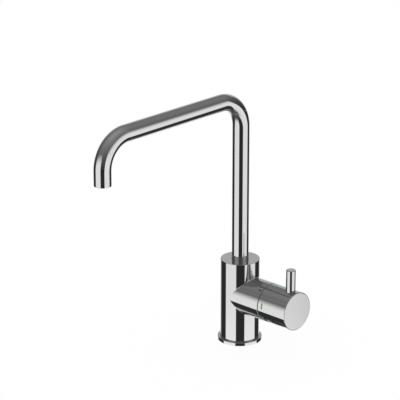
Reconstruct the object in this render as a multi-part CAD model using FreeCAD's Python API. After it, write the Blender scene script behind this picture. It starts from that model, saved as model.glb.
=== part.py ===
import FreeCAD, Part
import math
import os
from FreeCAD import Vector

# Three-way kitchen tap. Millimetres, +Z up. The origin is the centre of the base on the worktop,
# the spout points along -Y and the control barrel along +X.

# Upright body. The side barrel and the knob are slimmer by a small step all round.
body_diameter = 44.0
body_top_height = 96.2
barrel_step = 0.25
junction_fillet = 1.0
edge_break = 0.4
barrel_axis_height = 55.9
barrel_reach = 45.4

# Base ring and its gasket
base_ring_diameter = 50.0
base_ring_height = 3.6
base_ring_rim = 2.1
body_seat_height = 2.4
gasket_thickness = 1.4
gasket_land = 1.2

# Spout tube
tube_diameter = 19.0
tube_wall = 1.2
bend_radius = 33.2
arm_axis_height = 284.2
spout_reach = 210.8
outlet_straight = 15.5

# Swivel of the spout in the body
tube_gap = 0.5
tube_seat_depth = 1.5
bush_bore = 12.4
bush_spigot_length = 10.0
groove_land = 0.9
glide_ring_height = 2.4
glide_groove_depth = 0.9
glide_ring_slit = 1.0
seal_section = 1.8
seal_groove_play = 0.4
lock_groove_depth = 1.9
thrust_ring_thickness = 1.0
thrust_ledge_width = 1.4
swivel_limit = 75.0
swivel_stop_margin = 1.5

# Screw at the back that holds the spout down and stops its swing
lock_screw_diameter = 5.0
lock_dog_diameter = 4.0
lock_dog_length = 3.0
lock_screw_recess = 1.5
lock_socket_across = 2.5
lock_socket_depth = 3.0

# Inner tube that carries filtered water to its own nozzle
filtered_tube_diameter = 6.0
filtered_tube_wall = 0.8
filtered_seal_section = 1.6
filtered_guide_length = 2.8

# Outlet with aerator
outlet_recess = 0.6
aerator_length = 10.0
aerator_wall = 1.25
aerator_lip = 0.8
aerator_lip_height = 1.0
aerator_core_height = 6.0
aerator_hole_diameter = 1.3
aerator_hole_count = 14
aerator_gasket_thickness = 1.2
nozzle_bore = 3.6
nozzle_flange_width = 1.4
nozzle_flange_thickness = 1.5
nozzle_tail = 2.9

# Cartridge in the fixed barrel
cartridge_bore = 35.0
cartridge_seat = 12.5
cartridge_base_thickness = 5.0
cartridge_rim_height = 2.0
cartridge_rim_wall = 1.5
port_diameter = 3.6
port_margin = 3.0
port_seal_width = 1.3
port_seal_thickness = 1.2
inlet_port_angle = 22.0
disc_thickness = 3.0
disc_key_width = 3.0
disc_key_depth = 1.6
disc_pocket_depth = 1.6
disc_pocket_span = 70.0
moving_disc_inset = 0.6
peg_diameter = 3.0
peg_length = 1.2
peg_circle = 14.0
carrier_thickness = 4.5
sleeve_wall = 1.5
sleeve_end_wall = 3.0
stop_rib_depth = 3.4
stop_rib_half_angle = 12.0
stop_rib_length = 4.0
handle_turn_limit = 54.0
handle_stop_margin = 1.0
nut_length = 8.0
nut_bore = 20.0
nut_notch_width = 4.0
nut_notch_depth = 2.5

# Spindle and what it turns
spindle_diameter = 12.0
spindle_flange_diameter = 18.0
spindle_flange_thickness = 0.9
spindle_tongue_width = 4.0
spindle_tongue_length = 9.0
spindle_tongue_depth = 2.5
spindle_seal_section = 1.8
spindle_neck_length = 5.0
drive_hex_across = 8.0
drive_hex_length = 15.5
adapter_diameter = 18.0
adapter_length = 23.5
adapter_web = 3.0
adapter_screw_diameter = 4.0
adapter_screw_length = 12.0
adapter_screw_head_diameter = 7.2
adapter_screw_head_height = 3.0
adapter_start_gap = 0.5
adapter_flat_depth = 1.0

# Knob, lever pin and colour marks
seam_gap = 0.8
glide_washer_clearance = 0.05
glide_washer_setback = 0.5
knob_length = 39.2
knob_wall = 3.5
knob_end_wall = 5.0
knob_end_round = 1.0
hub_wall = 4.0
hub_setback = 3.5
hub_bore_margin = 2.0
lever_diameter = 10.7
lever_height = 24.75
lever_inset = 10.2
lever_top_round = 0.8
lever_seat_depth = 0.8
lever_thread_diameter = 6.0
lever_thread_length = 9.2
lever_boss_diameter = 12.0
grub_inset = 13.5
grub_diameter = 5.0
grub_length = 5.5
plug_diameter = 6.0
plug_thickness = 3.0
mark_inset = 5.6
mark_length = 6.6
mark_width = 2.1
mark_depth = 0.4
mark_offset_angle = 44.0
index_angle = 38.2
index_inset = 3.25
index_length = 4.8
index_width = 1.4

# Foot with the three hose inlets
foot_diameter = 32.0
foot_depth = 10.0
inlet_thread_diameter = 9.0
inlet_web = 3.0
inlet_drill_diameter = 6.0
inlet_wall = 1.3
inlet_angle = 101.0
inlet_seal_section = 1.4
foot_screw_diameter = 3.0
foot_screw_head_diameter = 5.5
foot_screw_head_height = 2.0
foot_screw_length = 16.0
foot_screw_angle = 54.0
foot_screw_wall = 0.35

# Waterway block between the inlets, the cartridge and the spout
block_diameter = 36.4
block_seal_section = 1.5
block_seal_land = 0.6
cross_drill_diameter = 5.0
mains_drill_diameter = 3.2
mains_cross_diameter = 2.8
mains_web = 0.9
drill_run_out = 0.6

# Clamp under the worktop
worktop_thickness = 30.0
stud_diameter = 8.0
stud_wall = 1.0
stud_grip = 11.6
stud_drop = 75.0
stud_slot_width = 1.2
stud_slot_depth = 2.0
clamp_plate_diameter = 54.0
clamp_plate_thickness = 3.0
clamp_gasket_thickness = 2.0
clamp_slot_clearance = 1.5
clamp_slot_corner = 4.0
clamp_nut_across = 13.0
clamp_nut_height = 12.0

# Clearances, all radial
running_clearance = 0.04
thread_clearance = 0.03
seat_clearance = 0.05
free_clearance = 0.3
cartridge_clearance = 0.2

# Places that follow from the sizes above
body_r = body_diameter / 2
barrel_r = body_r - barrel_step
tube_r = tube_diameter / 2
tube_inner_r = tube_r - tube_wall
outlet_height = arm_axis_height - bend_radius - outlet_straight
spout_bore_r = tube_r + tube_gap
foot_r = foot_diameter / 2
ring_bore_r = foot_r + free_clearance
gasket_inner_r = ring_bore_r + gasket_land
gasket_outer_r = base_ring_diameter / 2 - base_ring_rim

tube_seat = body_top_height - tube_seat_depth
glide_groove_height = glide_ring_height + 2 * seat_clearance
seal_groove_height = seal_section + seal_groove_play
lock_groove_height = lock_dog_diameter + 2 * seat_clearance
upper_glide_top = tube_seat - groove_land
upper_seal_top = upper_glide_top - glide_groove_height - groove_land
lock_groove_top = upper_seal_top - seal_groove_height - groove_land
lower_seal_top = lock_groove_top - lock_groove_height - groove_land
lower_glide_top = lower_seal_top - seal_groove_height - groove_land
bush_low = lower_glide_top - glide_groove_height - groove_land
thrust_ledge = bush_low - thrust_ring_thickness
chamber_r = spout_bore_r - thrust_ledge_width
lock_height = lock_groove_top - lock_groove_height / 2

filtered_r = filtered_tube_diameter / 2
filtered_seal_r = filtered_r + filtered_seal_section + 2 * seat_clearance
mains_offset = (filtered_seal_r + chamber_r) / 2
mains_rise = mains_offset
chamber_floor = barrel_axis_height + mains_rise + mains_drill_diameter / 2 + mains_web
block_r = block_diameter / 2
block_seal_r = chamber_r + block_seal_land + block_seal_section / 2
filtered_seal_low = chamber_floor - filtered_seal_section - seat_clearance
filtered_low = filtered_seal_low - filtered_guide_length

cartridge_r = cartridge_bore / 2 - cartridge_clearance
sleeve_inner_r = cartridge_r - sleeve_wall
rim_outer_r = sleeve_inner_r - cartridge_clearance
disc_r = rim_outer_r - cartridge_rim_wall - seat_clearance
port_circle = disc_r - port_margin
port_r = port_diameter / 2
base_end = cartridge_seat + cartridge_base_thickness
fixed_disc_end = base_end + disc_thickness
moving_disc_end = fixed_disc_end + disc_thickness
carrier_end = moving_disc_end + carrier_thickness
flange_end = carrier_end + spindle_flange_thickness
sleeve_wall_start = flange_end + seat_clearance
sleeve_end = sleeve_wall_start + sleeve_end_wall
nut_end = sleeve_end + nut_length
spindle_r = spindle_diameter / 2
hex_start = sleeve_end + spindle_neck_length
spindle_end = hex_start + drive_hex_length
adapter_start = nut_end + adapter_start_gap
adapter_end = adapter_start + adapter_length
adapter_r = adapter_diameter / 2
web_start = spindle_end + seat_clearance
web_end = web_start + adapter_web

knob_start = barrel_reach + seam_gap
knob_end = knob_start + knob_length
knob_inner_r = barrel_r - knob_wall
hub_start = knob_start + hub_setback
hub_bore_r = adapter_r + seat_clearance
hub_r = hub_bore_r + hub_wall
hub_bore_end = adapter_end + hub_bore_margin
lever_x = knob_end - lever_inset
lever_seat = barrel_axis_height + barrel_r - lever_seat_depth
lever_top = barrel_axis_height + barrel_r + lever_height
grub_x = knob_start + grub_inset
grub_tip_r = adapter_r - adapter_flat_depth
mark_x = knob_start + mark_inset
index_x = barrel_reach - index_inset

foot_low = -foot_depth
inlet_r = inlet_thread_diameter / 2
inlet_circle = foot_r - inlet_wall - inlet_r
stud_r = stud_diameter / 2
stud_x = foot_r - stud_wall - stud_r
screw_circle = foot_r - foot_screw_wall - foot_screw_head_diameter / 2
clamp_top = -worktop_thickness
plate_top = clamp_top - clamp_gasket_thickness
plate_low = plate_top - clamp_plate_thickness
slot_half = inlet_circle * math.sin(math.radians(inlet_angle)) + inlet_r + clamp_slot_clearance
slot_end = inlet_circle * math.cos(math.radians(inlet_angle)) + inlet_r + clamp_slot_clearance


def cylinder_z(radius, low, high, x=0.0, y=0.0):
    return Part.makeCylinder(radius, high - low, Vector(x, y, low), Vector(0, 0, 1))


def cylinder_x(radius, start, end, y=0.0, rise=0.0):
    centre = Vector(start, y, barrel_axis_height + rise)
    return Part.makeCylinder(radius, end - start, centre, Vector(1, 0, 0))


def ring_z(outer, inner, low, high, x=0.0, y=0.0):
    return cylinder_z(outer, low, high, x, y).cut(cylinder_z(inner, low, high, x, y))


def ring_x(outer, inner, start, end, y=0.0, rise=0.0):
    return cylinder_x(outer, start, end, y, rise).cut(cylinder_x(inner, start, end, y, rise))


def o_ring_z(middle_radius, section, height, x=0.0, y=0.0):
    return Part.makeTorus(middle_radius, section / 2, Vector(x, y, height), Vector(0, 0, 1))


def block(low, high):
    size = Vector(*high) - Vector(*low)
    return Part.makeBox(size.x, size.y, size.z, Vector(*low))


def hexagon(across, length, start, direction):
    """Six-sided bar of a given width across its flats."""
    corner = across / math.sqrt(3)
    points = []
    for step in range(7):
        turn = math.radians(60 * step)
        points.append(Vector(corner * math.cos(turn), corner * math.sin(turn), 0))
    bar = Part.Face(Part.makePolygon(points)).extrude(Vector(0, 0, length))
    bar.Placement = FreeCAD.Placement(start, FreeCAD.Rotation(Vector(0, 0, 1), direction))
    return bar


def turned_z(shape, angle):
    return shape.rotated(Vector(0, 0, 0), Vector(0, 0, 1), angle)


def turned_x(shape, angle):
    return shape.rotated(Vector(0, 0, barrel_axis_height), Vector(1, 0, 0), angle)


def rounded(shape, radius, chosen):
    """The shape with a fillet on every edge for which chosen(bounding box) holds."""
    edges = [edge for edge in shape.Edges if chosen(edge.BoundBox)]
    return shape.makeFillet(radius, edges).Solids[0]


def broken(shape, width, chosen):
    """The shape with a small chamfer on every edge for which chosen(bounding box) holds."""
    edges = [edge for edge in shape.Edges if chosen(edge.BoundBox)]
    return shape.makeChamfer(width, edges).Solids[0]


def level_at(height):
    return lambda box: abs(box.ZMin - height) < 1e-4 and abs(box.ZMax - height) < 1e-4


def upright_at(x):
    return lambda box: abs(box.XMin - x) < 1e-4 and abs(box.XMax - x) < 1e-4


def circle_spots(radius, angles):
    """Points at the given angles on a circle, as pairs of coordinates."""
    return [(radius * math.cos(math.radians(a)), radius * math.sin(math.radians(a))) for a in angles]


def wedge_z(half_angle, reach, low, high, middle_angle):
    """Pie slice about the Z axis, centred on an angle from +X."""
    slice_ = Part.makeCylinder(reach, high - low, Vector(0, 0, low), Vector(0, 0, 1), 2 * half_angle)
    return turned_z(slice_, middle_angle - half_angle)


def wedge_x(half_angle, reach, start, end, middle_angle):
    """Pie slice about the barrel axis, centred on an angle from straight down towards the front."""
    origin = Vector(start, 0, barrel_axis_height)
    slice_ = Part.makeCylinder(reach, end - start, origin, Vector(1, 0, 0), 2 * half_angle)
    mid = slice_.CenterOfMass - origin
    now = math.degrees(math.atan2(mid.y, -mid.z))
    return turned_x(slice_, -now - middle_angle)


def inlay(middle_x, axial, around, depth, angle):
    """Curved bar let into the barrel's skin. The angle runs from the top towards the front."""
    skin = ring_x(barrel_r, barrel_r - depth, middle_x - axial / 2, middle_x + axial / 2)
    bar = block((middle_x - axial, -around / 2, barrel_axis_height),
                (middle_x + axial, around / 2, barrel_axis_height + 2 * barrel_r))
    return turned_x(skin.common(bar), angle)


def inlay_pocket(middle_x, axial, around, depth, angle):
    return inlay(middle_x, axial + 2 * seat_clearance, around + 2 * seat_clearance,
                 depth + seat_clearance, angle)


# Where water passes the cartridge seat, as (sideways, rise) from the barrel axis
inlet_lift = port_circle * math.sin(math.radians(inlet_port_angle))
inlet_side = port_circle * math.cos(math.radians(inlet_port_angle))
hot_port = (inlet_side, -inlet_lift)
cold_port = (-inlet_side, -inlet_lift)
filtered_port = (0.0, -port_circle)
outlet_port = (0.0, 0.0)
mains_ports = [(mains_offset, mains_rise), (-mains_offset, mains_rise)]
all_ports = [hot_port, cold_port, filtered_port, outlet_port] + mains_ports

# Where the hoses screw in, as (x, y), and the port that each one feeds
inlet_spots = circle_spots(inlet_circle, (inlet_angle, -inlet_angle, 180.0))
inlet_feeds = list(zip(inlet_spots, (hot_port, cold_port, filtered_port)))
screw_spots = circle_spots(screw_circle, (foot_screw_angle, -foot_screw_angle))


def spout_path(low, outlet):
    """Centre line of the spout: up, round a bend, along the arm, round a bend and down."""
    corner = bend_radius * (1 - math.sqrt(0.5))
    rise = Vector(0, 0, arm_axis_height - bend_radius)
    over = Vector(0, -bend_radius, arm_axis_height)
    out = Vector(0, bend_radius - spout_reach, arm_axis_height)
    drop = Vector(0, -spout_reach, arm_axis_height - bend_radius)
    first = Vector(0, -corner, arm_axis_height - corner)
    second = Vector(0, corner - spout_reach, arm_axis_height - corner)
    return Part.Wire([
        Part.LineSegment(Vector(0, 0, low), rise).toShape(),
        Part.Arc(rise, first, over).toShape(),
        Part.LineSegment(over, out).toShape(),
        Part.Arc(out, second, drop).toShape(),
        Part.LineSegment(drop, Vector(0, -spout_reach, outlet)).toShape(),
    ])


def swept(radius, low, outlet):
    start = Part.Wire(Part.makeCircle(radius, Vector(0, 0, low), Vector(0, 0, 1)))
    return spout_path(low, outlet).makePipe(Part.Face(start))


def pipe(outer, inner, low, outlet):
    return swept(outer, low, outlet).cut(swept(inner, low, outlet)).Solids[0]


def body_casting():
    upright = cylinder_z(body_r, body_seat_height, body_top_height)
    barrel = cylinder_x(barrel_r, 0, barrel_reach)
    outer = upright.fuse(barrel).removeSplitter()
    half = barrel_r / 2
    outer = rounded(outer, junction_fillet, lambda b: b.XLength > half and b.ZLength > half)
    outer = broken(outer, edge_break, level_at(body_top_height))
    outer = broken(outer, edge_break, upright_at(barrel_reach))
    return outer.cut([
        cylinder_z(spout_bore_r, thrust_ledge, body_top_height),
        cylinder_z(chamber_r, chamber_floor, thrust_ledge),
        cylinder_z(block_r + seat_clearance, body_seat_height, chamber_floor),
        cylinder_x(cartridge_bore / 2, cartridge_seat, barrel_reach),
        lock_hole(),
        inlay_pocket(index_x, index_length, index_width, mark_depth, index_angle),
    ]).Solids[0]


def waterway_block():
    """Drilled insert that leads the three inlets to the cartridge and its outlets up to the spout."""
    insert = cylinder_z(block_r, body_seat_height, chamber_floor)
    seal_half = block_seal_section / 2 + seat_clearance
    seal_low = chamber_floor - 2 * seal_half
    cuts = [
        cylinder_x(cartridge_bore / 2, cartridge_seat, barrel_reach),
        ring_z(block_seal_r + seal_half, block_seal_r - seal_half, seal_low, chamber_floor),
        cylinder_z(filtered_seal_r, filtered_seal_low, chamber_floor),
        cylinder_z(filtered_r + running_clearance, barrel_axis_height, filtered_seal_low),
        cylinder_x(port_r, 0, cartridge_seat),
        cylinder_z(stud_r + thread_clearance, body_seat_height, body_seat_height + stud_grip, stud_x),
    ]
    cross_r = cross_drill_diameter / 2
    for (x, y), (side, lift) in inlet_feeds:
        top = barrel_axis_height + lift + cross_r + drill_run_out
        cuts.append(cylinder_z(inlet_drill_diameter / 2, body_seat_height, top, x, y))
        cuts.append(cylinder_x(cross_r, x, cartridge_seat, side, lift))
    rise_r = mains_drill_diameter / 2
    for side, lift in mains_ports:
        cuts.append(cylinder_x(mains_cross_diameter / 2, -rise_r - drill_run_out, cartridge_seat, side, lift))
        cuts.append(cylinder_z(rise_r, barrel_axis_height + lift - drill_run_out, chamber_floor, 0, side))
    for x, y in screw_spots:
        depth = foot_low + foot_screw_head_height + foot_screw_length
        cuts.append(cylinder_z(foot_screw_diameter / 2 + thread_clearance, body_seat_height,
                               depth + free_clearance, x, y))
    return insert.cut(cuts).Solids[0]


def waterway_seal():
    return o_ring_z(block_seal_r, block_seal_section, chamber_floor - block_seal_section / 2 - seat_clearance)


def base_ring():
    outer = cylinder_z(base_ring_diameter / 2, 0, base_ring_height)
    outer = broken(outer, edge_break, level_at(base_ring_height))
    return outer.cut([
        cylinder_z(ring_bore_r, 0, base_ring_height),
        cylinder_z(body_r + seat_clearance, body_seat_height, base_ring_height),
        ring_z(gasket_outer_r, gasket_inner_r, 0, gasket_thickness),
    ]).Solids[0]


def deck_gasket():
    return ring_z(gasket_outer_r - seat_clearance, gasket_inner_r + seat_clearance, 0, gasket_thickness)


def inlet_foot():
    foot = cylinder_z(foot_r, foot_low, body_seat_height)
    foot = broken(foot, edge_break, level_at(foot_low))
    web_low = body_seat_height - inlet_web
    groove_low = body_seat_height - inlet_seal_section - 2 * seat_clearance
    middle = inlet_drill_diameter / 2 + inlet_seal_section
    half = inlet_seal_section / 2 + seat_clearance
    cuts = [cylinder_z(stud_r + seat_clearance, foot_low, body_seat_height, stud_x)]
    for x, y in inlet_spots:
        cuts.append(cylinder_z(inlet_r, foot_low, web_low, x, y))
        cuts.append(cylinder_z(inlet_drill_diameter / 2, web_low, body_seat_height, x, y))
        cuts.append(ring_z(middle + half, middle - half, groove_low, body_seat_height, x, y))
    for x, y in screw_spots:
        head_top = foot_low + foot_screw_head_height
        cuts.append(cylinder_z(foot_screw_head_diameter / 2 + seat_clearance, foot_low, head_top, x, y))
        cuts.append(cylinder_z(foot_screw_diameter / 2 + seat_clearance, head_top, body_seat_height, x, y))
    return foot.cut(cuts).Solids[0]


def inlet_o_rings():
    middle = inlet_drill_diameter / 2 + inlet_seal_section
    height = body_seat_height - inlet_seal_section / 2 - seat_clearance
    return Part.Compound([o_ring_z(middle, inlet_seal_section, height, x, y) for x, y in inlet_spots])


def foot_screws():
    screws = []
    for x, y in screw_spots:
        head_top = foot_low + foot_screw_head_height
        head = cylinder_z(foot_screw_head_diameter / 2, foot_low, head_top, x, y)
        shank = cylinder_z(foot_screw_diameter / 2, head_top, head_top + foot_screw_length, x, y)
        socket = hexagon(foot_screw_head_diameter / 2, foot_screw_head_height / 2, Vector(x, y, foot_low),
                         Vector(0, 0, 1))
        screws.append(head.fuse(shank).removeSplitter().cut(socket).Solids[0])
    return Part.Compound(screws)


def fixing_stud():
    stud = cylinder_z(stud_r, -stud_drop, body_seat_height + stud_grip, stud_x)
    slot = block((stud_x - stud_diameter, -stud_slot_width / 2, -stud_drop),
                 (stud_x + stud_diameter, stud_slot_width / 2, stud_slot_depth - stud_drop))
    return stud.cut(slot).Solids[0]


def horseshoe(low, high):
    """Round plate with a slot for the hoses, open towards the left, and a hole for the stud."""
    reach = clamp_plate_diameter / 2
    slot = block((-2 * reach, -slot_half, low), (slot_end, slot_half, high))
    at_end = upright_at(slot_end)
    slot = rounded(slot, clamp_slot_corner, lambda box: at_end(box) and box.YLength < 1e-4)
    hole = cylinder_z(stud_r + free_clearance, low, high, stud_x)
    return cylinder_z(reach, low, high).cut([slot, hole]).Solids[0]


def clamp_gasket():
    return horseshoe(plate_top, clamp_top)


def clamp_plate():
    return horseshoe(plate_low, plate_top)


def clamp_nut():
    low = plate_low - clamp_nut_height
    body = hexagon(clamp_nut_across, clamp_nut_height, Vector(stud_x, 0, low), Vector(0, 0, 1))
    return body.cut(cylinder_z(stud_r + running_clearance, low, plate_low, stud_x)).Solids[0]


def lock_hole():
    return Part.makeCylinder(lock_screw_diameter / 2 + thread_clearance, body_r, Vector(0, 0, lock_height),
                             Vector(0, 1, 0))


def spout_lock_screw():
    tip = tube_r - lock_groove_depth + seat_clearance
    shoulder = tip + lock_dog_length
    out = body_r - lock_screw_recess
    back = Vector(0, 1, 0)
    dog = Part.makeCylinder(lock_dog_diameter / 2, lock_dog_length, Vector(0, tip, lock_height), back)
    shank = Part.makeCylinder(lock_screw_diameter / 2, out - shoulder, Vector(0, shoulder, lock_height), back)
    socket_floor = Vector(0, out - lock_socket_depth, lock_height)
    socket = hexagon(lock_socket_across, lock_socket_depth, socket_floor, back)
    return dog.fuse(shank).removeSplitter().cut(socket).Solids[0]


def spout_thrust_ring():
    inner = chamber_r + seat_clearance
    return ring_z(spout_bore_r - running_clearance, inner, thrust_ledge, bush_low)


def spout_tube():
    tube = pipe(tube_r, tube_inner_r, tube_seat, outlet_height)
    return broken(tube, edge_break, level_at(outlet_height))


def groove(depth, top, height):
    return ring_z(tube_r + tube_gap, tube_r - depth, top - height, top)


def spout_bush():
    bush = cylinder_z(tube_r, bush_low, tube_seat)
    spigot = cylinder_z(tube_inner_r - thread_clearance, tube_seat, tube_seat + bush_spigot_length)
    seal_depth = seal_section - tube_gap + seat_clearance
    dog_angle = math.degrees(math.asin(lock_dog_diameter / 2 / (tube_r - lock_groove_depth)))
    swing = swivel_limit + dog_angle + swivel_stop_margin
    lock_ring = groove(lock_groove_depth, lock_groove_top, lock_groove_height)
    lock_slice = wedge_z(swing, body_r, lock_groove_top - lock_groove_height, lock_groove_top, 90.0)
    return bush.fuse(spigot).removeSplitter().cut([
        cylinder_z(bush_bore / 2, bush_low, tube_seat + bush_spigot_length),
        groove(glide_groove_depth, upper_glide_top, glide_groove_height),
        groove(glide_groove_depth, lower_glide_top, glide_groove_height),
        groove(seal_depth, upper_seal_top, seal_groove_height),
        groove(seal_depth, lower_seal_top, seal_groove_height),
        lock_ring.common(lock_slice),
    ]).Solids[0]


def spout_o_rings():
    middle = spout_bore_r - running_clearance - seal_section / 2
    drop = seal_groove_height / 2
    tops = (upper_seal_top, lower_seal_top)
    return Part.Compound([o_ring_z(middle, seal_section, top - drop) for top in tops])


def spout_glide_rings():
    inner = tube_r - glide_groove_depth + seat_clearance
    rings = []
    for top in (upper_glide_top, lower_glide_top):
        high = top - seat_clearance
        low = high - glide_ring_height
        slit = block((0, -glide_ring_slit / 2, low), (2 * spout_bore_r, glide_ring_slit / 2, high))
        ring = ring_z(spout_bore_r - running_clearance, inner, low, high)
        rings.append(ring.cut(slit).Solids[0])
    return Part.Compound(rings)


nozzle_low = outlet_height + outlet_recess
core_low = nozzle_low + aerator_lip_height
core_top = core_low + aerator_core_height
aerator_top = nozzle_low + aerator_length
nozzle_top = core_top + nozzle_flange_thickness + nozzle_tail
aerator_r = tube_inner_r - thread_clearance
core_r = aerator_r - aerator_wall


def filtered_tube():
    return pipe(filtered_r, filtered_r - filtered_tube_wall, filtered_low, nozzle_top)


def filtered_tube_o_ring():
    middle = filtered_r + running_clearance + filtered_seal_section / 2
    return o_ring_z(middle, filtered_seal_section, filtered_seal_low + filtered_seal_section / 2)


def at_outlet(shape):
    return shape.translated(Vector(0, -spout_reach, 0))


def aerator_housing():
    shell = cylinder_z(aerator_r, nozzle_low, aerator_top)
    return at_outlet(shell.cut([
        cylinder_z(core_r, core_low, aerator_top),
        cylinder_z(core_r - aerator_lip, nozzle_low, core_low),
    ]).Solids[0])


def aerator_core():
    core = cylinder_z(core_r - seat_clearance, core_low, core_top)
    stem_r = filtered_r + seat_clearance
    middle = (stem_r + core_r - aerator_lip) / 2
    step = 360.0 / aerator_hole_count
    holes = [cylinder_z(stem_r, core_low, core_top)]
    for x, y in circle_spots(middle, [step * k for k in range(aerator_hole_count)]):
        holes.append(cylinder_z(aerator_hole_diameter / 2, core_low, core_top, x, y))
    return at_outlet(core.cut(holes).Solids[0])


def aerator_gasket():
    inner = filtered_r + nozzle_flange_width
    return at_outlet(ring_z(aerator_r, inner, aerator_top, aerator_top + aerator_gasket_thickness))


def filtered_nozzle():
    stem = cylinder_z(filtered_r, nozzle_low, nozzle_top)
    flange_r = filtered_r + nozzle_flange_width - seat_clearance
    flange = cylinder_z(flange_r, core_top, core_top + nozzle_flange_thickness)
    return at_outlet(stem.fuse(flange).removeSplitter().cut(
        cylinder_z(nozzle_bore / 2, nozzle_low, nozzle_top)).Solids[0])


def disc_key(width, depth, start, end):
    """Key at the top of the fixed disc."""
    low = barrel_axis_height + disc_r - depth
    return block((start, -width / 2, low), (end, width / 2, barrel_axis_height + disc_r + cartridge_rim_wall))


def cartridge_base():
    plate = cylinder_x(cartridge_r, cartridge_seat, base_end)
    rim = ring_x(rim_outer_r, disc_r + seat_clearance, base_end, base_end + cartridge_rim_height)
    key = disc_key(disc_key_width, disc_key_depth, base_end, base_end + cartridge_rim_height)
    base = plate.fuse([rim, key.common(cylinder_x(rim_outer_r, base_end, fixed_disc_end))]).removeSplitter()
    cuts = []
    for side, lift in all_ports:
        cuts.append(cylinder_x(port_r, cartridge_seat, base_end, side, lift))
        cuts.append(cylinder_x(port_r + port_seal_width + 2 * seat_clearance, cartridge_seat,
                               cartridge_seat + port_seal_thickness, side, lift))
    return base.cut(cuts).Solids[0]


def cartridge_port_seals():
    end = cartridge_seat + port_seal_thickness
    inner = port_r + seat_clearance
    return Part.Compound([ring_x(inner + port_seal_width, inner, cartridge_seat, end, side, lift)
                          for side, lift in all_ports])


def fixed_ceramic_disc():
    disc = cylinder_x(disc_r, base_end, fixed_disc_end)
    cuts = [cylinder_x(port_r, base_end, fixed_disc_end, side, lift) for side, lift in all_ports]
    cuts.append(disc_key(disc_key_width + 2 * seat_clearance, disc_key_depth + seat_clearance,
                         base_end, fixed_disc_end))
    return disc.cut(cuts).Solids[0]


def drive_pegs(radius, start, end):
    half = peg_circle / 2
    return [cylinder_x(radius, start, end, side) for side in (half, -half)]


def moving_ceramic_disc():
    disc = cylinder_x(disc_r - moving_disc_inset, fixed_disc_end, moving_disc_end)
    pocket_end = fixed_disc_end + disc_pocket_depth
    band = ring_x(port_circle + port_r, port_circle - port_r, fixed_disc_end, pocket_end)
    half = disc_pocket_span / 2
    slices = [wedge_x(half, barrel_r, fixed_disc_end, pocket_end, middle) for middle in (180.0, 60.0)]
    kidneys = [band.common(piece) for piece in slices]
    pegs = drive_pegs(peg_diameter / 2 + seat_clearance, moving_disc_end - peg_length - seat_clearance,
                      moving_disc_end)
    return disc.cut(kidneys + pegs).Solids[0]


def disc_carrier():
    plate = cylinder_x(disc_r, moving_disc_end, carrier_end)
    plate = plate.fuse(drive_pegs(peg_diameter / 2, moving_disc_end - peg_length, moving_disc_end))
    rib_r = sleeve_inner_r - stop_rib_depth
    sweep = stop_rib_half_angle + handle_turn_limit + handle_stop_margin
    outside = ring_x(barrel_r, rib_r - free_clearance, moving_disc_end, carrier_end)
    notch = outside.common(wedge_x(sweep, 2 * barrel_r, moving_disc_end, carrier_end, 0.0))
    tongue = spindle_tongue(seat_clearance)
    return plate.removeSplitter().cut([notch, tongue]).Solids[0]


def cartridge_sleeve():
    can = cylinder_x(cartridge_r, base_end, sleeve_end)
    can = can.cut([
        cylinder_x(sleeve_inner_r, base_end, sleeve_wall_start),
        cylinder_x(spindle_r + running_clearance, sleeve_wall_start, sleeve_end),
    ])
    rib_start = sleeve_wall_start - stop_rib_length
    rib_outer_r = sleeve_inner_r + sleeve_wall / 2
    rib = ring_x(rib_outer_r, sleeve_inner_r - stop_rib_depth, rib_start, sleeve_wall_start)
    rib = rib.common(wedge_x(stop_rib_half_angle, 2 * barrel_r, rib_start, sleeve_wall_start, 0.0))
    return can.fuse(rib).removeSplitter().Solids[0]


def spindle_tongue(clearance):
    half_width = spindle_tongue_width / 2 + clearance
    half_length = spindle_tongue_length / 2 + clearance
    start = carrier_end - spindle_tongue_depth - clearance
    return block((start, -half_length, barrel_axis_height - half_width),
                 (carrier_end, half_length, barrel_axis_height + half_width))


spindle_seal_middle = (sleeve_wall_start + sleeve_end) / 2


def cartridge_spindle():
    flange = cylinder_x(spindle_flange_diameter / 2, carrier_end, flange_end)
    stem = cylinder_x(spindle_r, flange_end, hex_start)
    drive = hexagon(drive_hex_across, drive_hex_length, Vector(hex_start, 0, barrel_axis_height),
                    Vector(1, 0, 0))
    spindle = flange.fuse([stem, drive, spindle_tongue(0.0)]).removeSplitter()
    half = spindle_seal_section / 2 + seat_clearance
    floor = spindle_r + running_clearance - spindle_seal_section - 2 * seat_clearance
    thread_start = web_end - adapter_screw_length - free_clearance
    return spindle.cut([
        ring_x(2 * spindle_r, floor, spindle_seal_middle - half, spindle_seal_middle + half),
        cylinder_x(adapter_screw_diameter / 2 + thread_clearance, thread_start, spindle_end),
    ]).Solids[0]


def spindle_o_ring():
    middle = spindle_r - spindle_seal_section / 2
    centre = Vector(spindle_seal_middle, 0, barrel_axis_height)
    return Part.makeTorus(middle, spindle_seal_section / 2, centre, Vector(1, 0, 0))


def cartridge_nut():
    nut = ring_x(cartridge_bore / 2 - thread_clearance, nut_bore / 2, sleeve_end, nut_end)
    notch = block((nut_end - nut_notch_depth, -barrel_r, barrel_axis_height - nut_notch_width / 2),
                  (nut_end, barrel_r, barrel_axis_height + nut_notch_width / 2))
    return nut.cut([notch, turned_x(notch, 90.0)]).Solids[0]


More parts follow.
